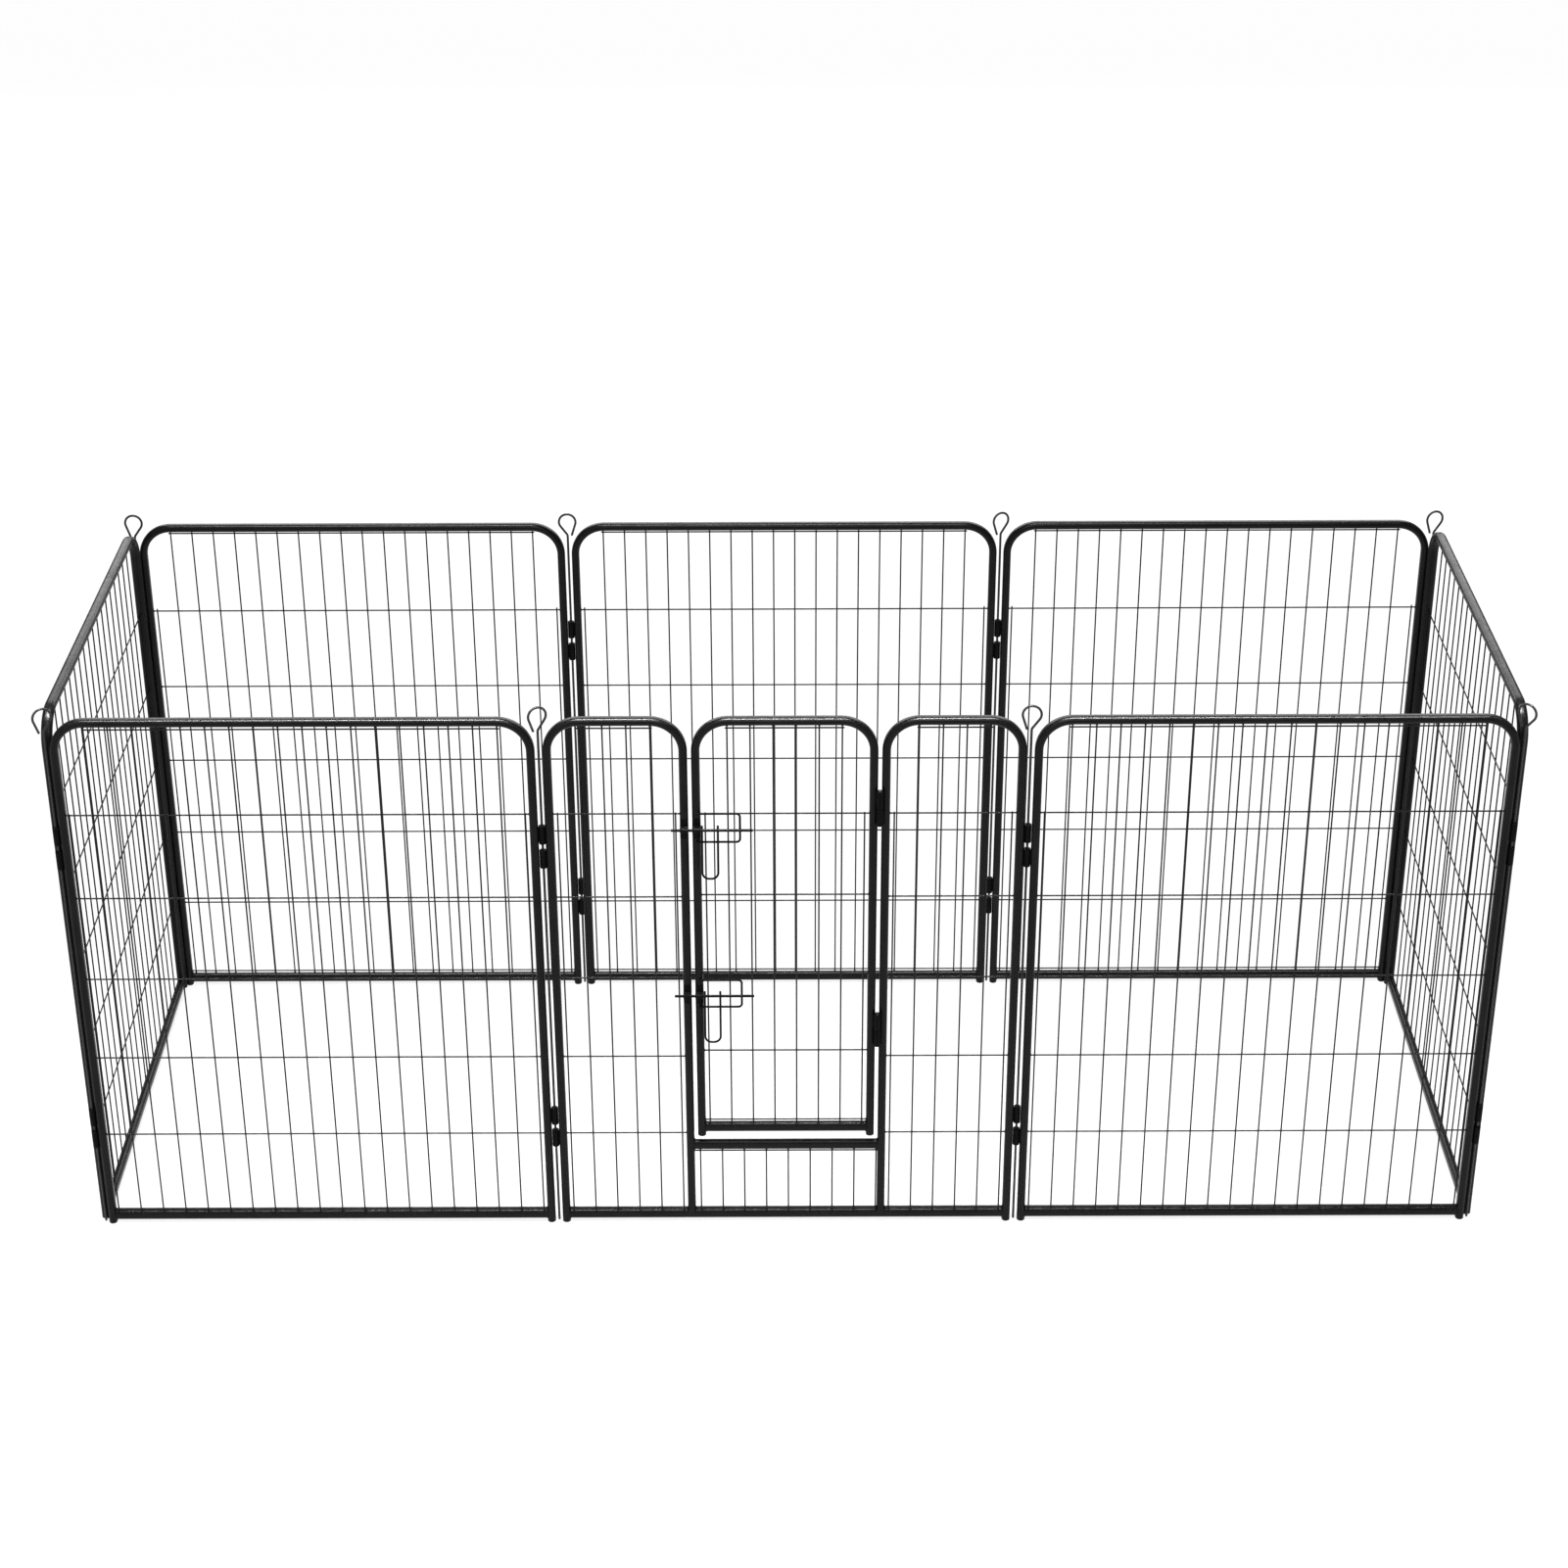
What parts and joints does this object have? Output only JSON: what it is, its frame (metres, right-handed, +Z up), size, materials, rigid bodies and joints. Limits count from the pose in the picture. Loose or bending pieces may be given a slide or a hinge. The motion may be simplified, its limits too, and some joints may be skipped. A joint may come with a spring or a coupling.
{
  "type": "pet playpen",
  "caption": "Free-standing pet playpen of wire-mesh panels in oval tube frames, joined in a closed ring by lift-out pins, with a hinged door held by slide bolts.",
  "frame": {"origin": "on the floor, at the middle of the ring of pins", "axes": "+X along the front row to the right as seen from outside the door, +Y from the front row to the rear row, +Z up; the door faces -Y"},
  "size_m": [2.4729, 0.8468, 1.026],
  "materials": {
    "tube_enamel": "satin powder coat",
    "wire_enamel": "satin powder coat",
    "fitting_enamel": "satin powder coat",
    "bolt_steel": "satin black enamel",
    "pin_steel": "satin black enamel",
    "hinge_pin_steel": "satin black enamel",
    "foot_plastic": "fine moulded grain"
  },
  "bodies": {
    "door_panel": {"door_panel_left_bay_tube": "tube_enamel", "door_panel_right_bay_tube": "tube_enamel", "door_panel_bottom_rail": "tube_enamel", "door_panel_sill_rail": "tube_enamel", "door_panel_left_mesh": "wire_enamel", "door_panel_right_mesh": "wire_enamel", "door_panel_sill_mesh": "wire_enamel", "door_panel_sleeves": "fitting_enamel", "door_panel_plugs": "foot_plastic", "door_panel_hinge_knuckles": "fitting_enamel", "door_panel_bolt_keepers": "fitting_enamel", "door_hinge_pins": "hinge_pin_steel"},
    "front_left": {"front_left_frame": "tube_enamel", "front_left_mesh": "wire_enamel", "front_left_sleeves": "fitting_enamel", "front_left_plugs": "foot_plastic"},
    "front_right": {"front_right_frame": "tube_enamel", "front_right_mesh": "wire_enamel", "front_right_sleeves": "fitting_enamel", "front_right_plugs": "foot_plastic"},
    "side_left": {"side_left_frame": "tube_enamel", "side_left_mesh": "wire_enamel", "side_left_sleeves": "fitting_enamel", "side_left_plugs": "foot_plastic"},
    "side_right": {"side_right_frame": "tube_enamel", "side_right_mesh": "wire_enamel", "side_right_sleeves": "fitting_enamel", "side_right_plugs": "foot_plastic"},
    "rear_left": {"rear_left_frame": "tube_enamel", "rear_left_mesh": "wire_enamel", "rear_left_sleeves": "fitting_enamel", "rear_left_plugs": "foot_plastic"},
    "rear_middle": {"rear_middle_frame": "tube_enamel", "rear_middle_mesh": "wire_enamel", "rear_middle_sleeves": "fitting_enamel", "rear_middle_plugs": "foot_plastic"},
    "rear_right": {"rear_right_frame": "tube_enamel", "rear_right_mesh": "wire_enamel", "rear_right_sleeves": "fitting_enamel", "rear_right_plugs": "foot_plastic"},
    "door": {"door_tube": "tube_enamel", "door_bottom_rail": "tube_enamel", "door_mesh": "wire_enamel", "door_plugs": "foot_plastic", "door_hinge_knuckles": "fitting_enamel", "door_bolt_sleeves": "fitting_enamel", "door_bolt_guides": "fitting_enamel"},
    "upper_bolt_rod": {"upper_bolt_rod": "bolt_steel"},
    "upper_bolt_handle": {"upper_bolt_handle": "bolt_steel"},
    "lower_bolt_rod": {"lower_bolt_rod": "bolt_steel"},
    "lower_bolt_handle": {"lower_bolt_handle": "bolt_steel"},
    "pin_front_left_corner": {"pin_front_left_corner": "pin_steel"},
    "pin_front_left": {"pin_front_left": "pin_steel"},
    "pin_front_right": {"pin_front_right": "pin_steel"},
    "pin_front_right_corner": {"pin_front_right_corner": "pin_steel"},
    "pin_rear_left_corner": {"pin_rear_left_corner": "pin_steel"},
    "pin_rear_left": {"pin_rear_left": "pin_steel"},
    "pin_rear_right": {"pin_rear_right": "pin_steel"},
    "pin_rear_right_corner": {"pin_rear_right_corner": "pin_steel"}
  },
  "joints": [
    {"name": "fold", "type": "hinge", "parent": "door_panel", "child": "front_right", "pos_m": [0.4064, -0.4064, 0], "axis": [0, 0, 1], "range_deg": [0, 90]},
    {"name": "fold_side_right", "type": "hinge", "parent": "front_right", "child": "side_right", "pos_m": [1.2192, -0.4064, 0], "axis": [0, 0, 1], "range_deg": [-90, 0]},
    {"name": "fold_rear_right", "type": "hinge", "parent": "side_right", "child": "rear_right", "pos_m": [1.2192, 0.4064, 0], "axis": [0, 0, 1], "range_deg": [-90, 0]},
    {"name": "fold_rear_middle", "type": "hinge", "parent": "rear_right", "child": "rear_middle", "pos_m": [0.4064, 0.4064, 0], "axis": [0, 0, 1], "range_deg": [0, 90]},
    {"name": "fold_front_left", "type": "hinge", "parent": "door_panel", "child": "front_left", "pos_m": [-0.4064, -0.4064, 0], "axis": [0, 0, 1], "range_deg": [-90, 0]},
    {"name": "fold_side_left", "type": "hinge", "parent": "front_left", "child": "side_left", "pos_m": [-1.2192, -0.4064, 0], "axis": [0, 0, 1], "range_deg": [0, 90]},
    {"name": "fold_rear_left", "type": "hinge", "parent": "side_left", "child": "rear_left", "pos_m": [-1.2192, 0.4064, 0], "axis": [0, 0, 1], "range_deg": [0, 90]},
    {"name": "door_hinge", "type": "hinge", "parent": "door_panel", "child": "door", "pos_m": [0.1581, -0.41793, 0], "axis": [0, 0, 1], "range_deg": [0, 165]},
    {"name": "upper_bolt_slide", "type": "slide", "parent": "door", "child": "upper_bolt_rod", "axis": [1, 0, 0], "range_m": [0, 0.031]},
    {"name": "upper_bolt_turn", "type": "hinge", "parent": "upper_bolt_rod", "child": "upper_bolt_handle", "pos_m": [-0.139, -0.4219, 0.802], "axis": [-1, 0, 0], "range_deg": [0, 165]},
    {"name": "lower_bolt_slide", "type": "slide", "parent": "door", "child": "lower_bolt_rod", "axis": [1, 0, 0], "range_m": [0, 0.031]},
    {"name": "lower_bolt_turn", "type": "hinge", "parent": "lower_bolt_rod", "child": "lower_bolt_handle", "pos_m": [-0.139, -0.4219, 0.478], "axis": [-1, 0, 0], "range_deg": [0, 165]},
    {"name": "lift_front_left_corner", "type": "slide", "parent": "front_left", "child": "pin_front_left_corner", "axis": [0, 0, 1], "range_m": [0, 0.8]},
    {"name": "lift_front_left", "type": "slide", "parent": "door_panel", "child": "pin_front_left", "axis": [0, 0, 1], "range_m": [0, 0.8]},
    {"name": "lift_front_right", "type": "slide", "parent": "door_panel", "child": "pin_front_right", "axis": [0, 0, 1], "range_m": [0, 0.8]},
    {"name": "lift_front_right_corner", "type": "slide", "parent": "front_right", "child": "pin_front_right_corner", "axis": [0, 0, 1], "range_m": [0, 0.8]},
    {"name": "lift_rear_left_corner", "type": "slide", "parent": "side_left", "child": "pin_rear_left_corner", "axis": [0, 0, 1], "range_m": [0, 0.8]},
    {"name": "lift_rear_left", "type": "slide", "parent": "rear_middle", "child": "pin_rear_left", "axis": [0, 0, 1], "range_m": [0, 0.8]},
    {"name": "lift_rear_right", "type": "slide", "parent": "rear_right", "child": "pin_rear_right", "axis": [0, 0, 1], "range_m": [0, 0.8]},
    {"name": "lift_rear_right_corner", "type": "slide", "parent": "side_right", "child": "pin_rear_right_corner", "axis": [0, 0, 1], "range_m": [0, 0.8]}
  ],
  "couplings": [
    {"joint": "fold_side_right", "follows": "fold", "ratio": -1},
    {"joint": "fold_rear_right", "follows": "fold", "ratio": -1},
    {"joint": "fold_rear_middle", "follows": "fold", "ratio": 1},
    {"joint": "fold_front_left", "follows": "fold", "ratio": -1},
    {"joint": "fold_side_left", "follows": "fold", "ratio": 1},
    {"joint": "fold_rear_left", "follows": "fold", "ratio": 1}
  ]
}
